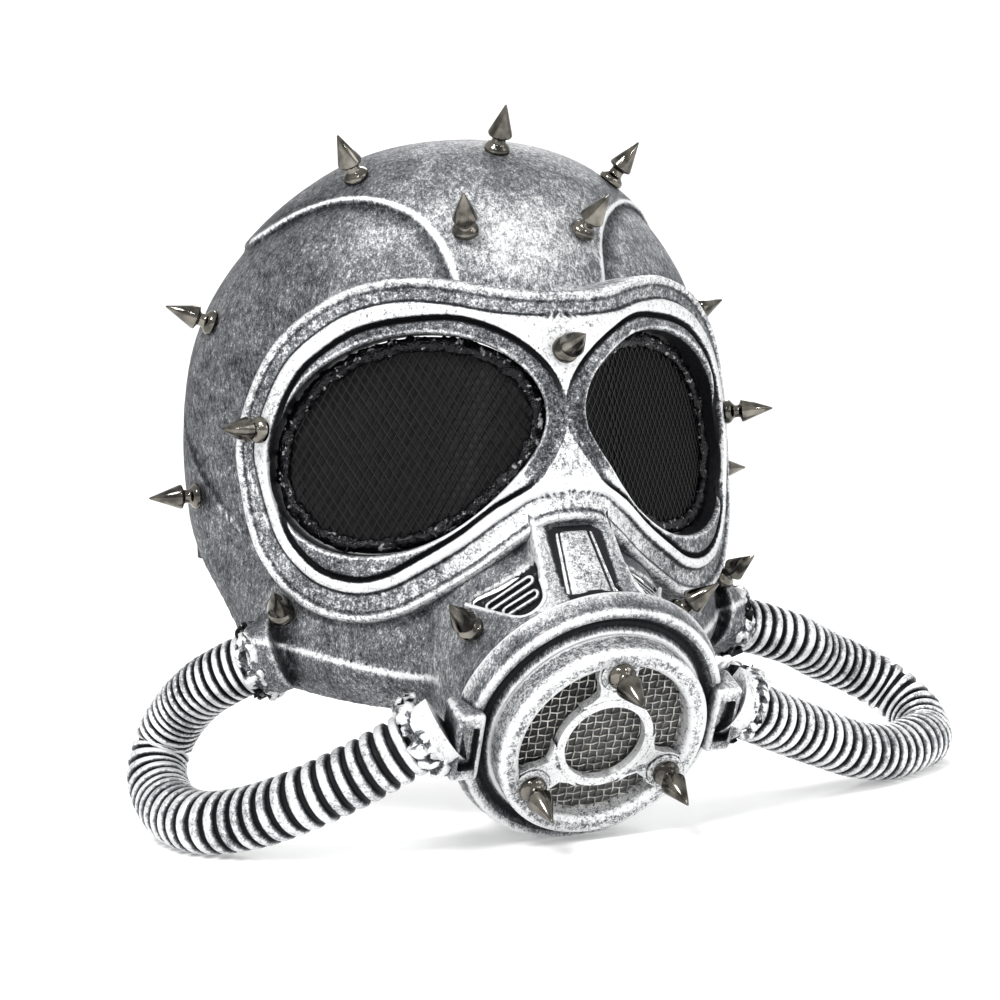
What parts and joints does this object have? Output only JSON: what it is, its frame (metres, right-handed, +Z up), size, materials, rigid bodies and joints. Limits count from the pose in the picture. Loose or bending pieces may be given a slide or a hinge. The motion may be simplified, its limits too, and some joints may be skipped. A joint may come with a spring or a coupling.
{
  "type": "gas mask style costume mask",
  "caption": "Rigid full-face mask with a goggle frame, screened eye openings, a round snout filter, corrugated side hoses and studded cone spikes.",
  "frame": {"origin": "middle of the bounding box, on the surface the mask stands on", "axes": "+Z up as it stands, face towards -Y, wearer's left towards +X; the head goes in from +Y"},
  "size_m": [0.3326, 0.249, 0.2598],
  "materials": {
    "shell_paint": "moulded black vinyl, dry-brushed silver, satin",
    "frame_paint": "moulded black vinyl, heavily dry-brushed silver, satin",
    "steel_mesh": "bare woven wire",
    "black_mesh": "black coated wire mesh, satin",
    "hose_paint": "black corrugated tube with silver painted ribs, satin",
    "spike_metal": "polished gunmetal plating",
    "elastic": "black woven elastic"
  },
  "bodies": {
    "root": {"face_shell": "shell_paint", "goggle_frame": "frame_paint", "filter_flange": "shell_paint", "filter_front_ring": "frame_paint", "filter_mesh": "steel_mesh", "eye_mesh_right": "black_mesh", "eye_mesh_left": "black_mesh", "hose_left": "hose_paint", "hose_right": "hose_paint", "strap": "elastic", "spike_crown": "spike_metal", "spike_brow": "spike_metal", "spike_top_left": "spike_metal", "spike_top_right": "spike_metal", "spike_forehead_left": "spike_metal", "spike_forehead_right": "spike_metal", "spike_upper_temple_left": "spike_metal", "spike_upper_temple_right": "spike_metal", "spike_goggle_side_left": "spike_metal", "spike_goggle_side_right": "spike_metal", "spike_lower_temple_left": "spike_metal", "spike_lower_temple_right": "spike_metal", "spike_cheek_hose_left": "spike_metal", "spike_cheek_hose_right": "spike_metal", "spike_cheek_filter_left": "spike_metal", "spike_cheek_filter_right": "spike_metal", "spike_filter_top": "spike_metal", "spike_filter_low_left": "spike_metal", "spike_filter_low_right": "spike_metal"}
  },
  "joints": []
}
